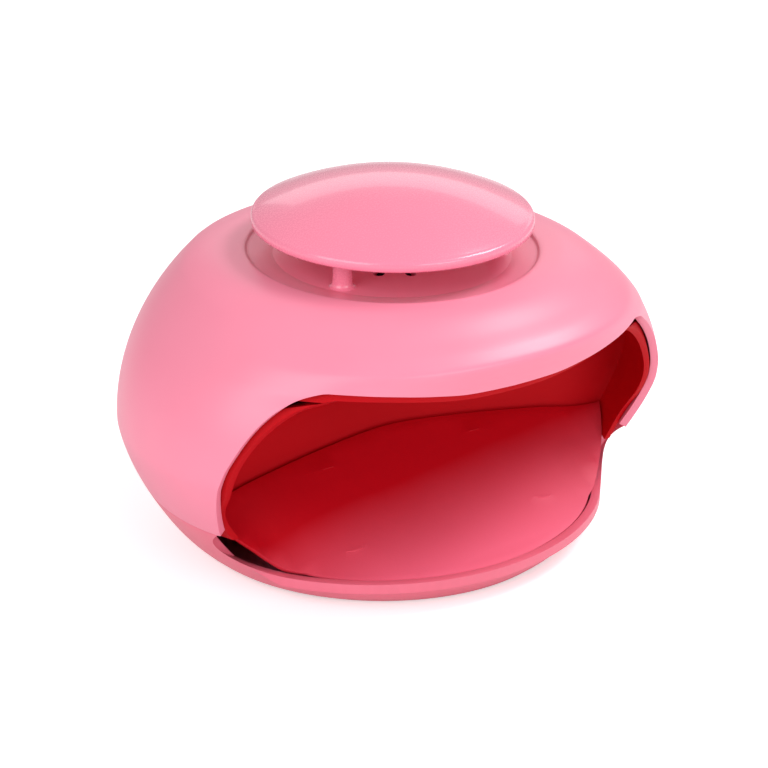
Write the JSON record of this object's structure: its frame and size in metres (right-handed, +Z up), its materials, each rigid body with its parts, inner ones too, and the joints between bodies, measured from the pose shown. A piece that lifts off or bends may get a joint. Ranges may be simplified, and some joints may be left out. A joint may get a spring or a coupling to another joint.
{
  "type": "nail lamp",
  "caption": "Small battery nail lamp: pearl pink pod with a hand opening, press tray, raised domed cap over a fan intake, UV LEDs and a battery bay behind the tray",
  "frame": {"origin": "on the ground under the middle of the lamp", "axes": "+X to the right seen from the hand opening, +Y from the hand opening to the rear, +Z up"},
  "size_m": [0.1423, 0.1164, 0.0936],
  "materials": {
    "housing_plastic": "pearl pink, satin gloss",
    "base_plastic": "pearl pink, satin gloss",
    "cap_plastic": "glossy pink",
    "liner_plastic": "deep red pink, satin",
    "tray_plastic": "coral pink, satin",
    "foot_rubber": "matte black",
    "steel": "nickel plated",
    "motor_steel": "plated can",
    "switch_plastic": "black moulding",
    "plunger_plastic": "off-white moulding",
    "bay_plastic": "natural white moulding",
    "cell_sleeve": "dark printed sleeve, no print",
    "rotor_plastic": "black moulding",
    "led_lens": "clear epoxy lens",
    "board": "green solder mask"
  },
  "bodies": {
    "body": {"upper_housing": "housing_plastic", "inner_liner": "liner_plastic", "base_shell": "base_plastic", "top_cap": "cap_plastic", "rubber_feet": "foot_rubber", "hinge_pins": "steel", "tray_springs": "steel", "switch_body": "switch_plastic", "battery_bay": "bay_plastic", "battery_cells": "cell_sleeve", "contact_plates": "steel", "contact_springs": "steel", "fan_frame": "bay_plastic", "fan_motor": "motor_steel", "uv_leds": "led_lens", "led_board": "board", "housing_screws": "steel", "liner_screws": "steel", "cap_screws": "steel", "fan_screws": "steel", "board_screws": "steel", "bay_screws": "steel"},
    "tray": {"hand_tray": "tray_plastic"},
    "plunger": {"switch_plunger": "plunger_plastic"},
    "door": {"battery_door": "base_plastic"},
    "rotor": {"fan_rotor": "rotor_plastic", "fan_shaft": "steel"}
  },
  "joints": [
    {"name": "tray_press", "type": "hinge", "parent": "body", "child": "tray", "pos_m": [0, -0.00635, 0.0175], "axis": [1, 0, 0], "range_deg": [0, 2], "stiffness_Nm_per_rad": 0.475, "springref_deg": -3.44, "deforming": ["tray_springs"]},
    {"name": "plunger_slide", "type": "slide", "parent": "body", "child": "plunger", "axis": [0, 0, -1], "range_m": [0, 0.001]},
    {"name": "door_slide", "type": "slide", "parent": "body", "child": "door", "axis": [0, 1, 0], "range_m": [0, 0.04]},
    {"name": "rotor_spin", "type": "hinge", "parent": "body", "child": "rotor", "pos_m": [0, -0.00215, 0.06], "axis": [0, 0, 1], "continuous": true}
  ],
  "couplings": [
    {"joint": "plunger_slide", "follows": "tray_press", "m_per_rad": 0.0278}
  ]
}
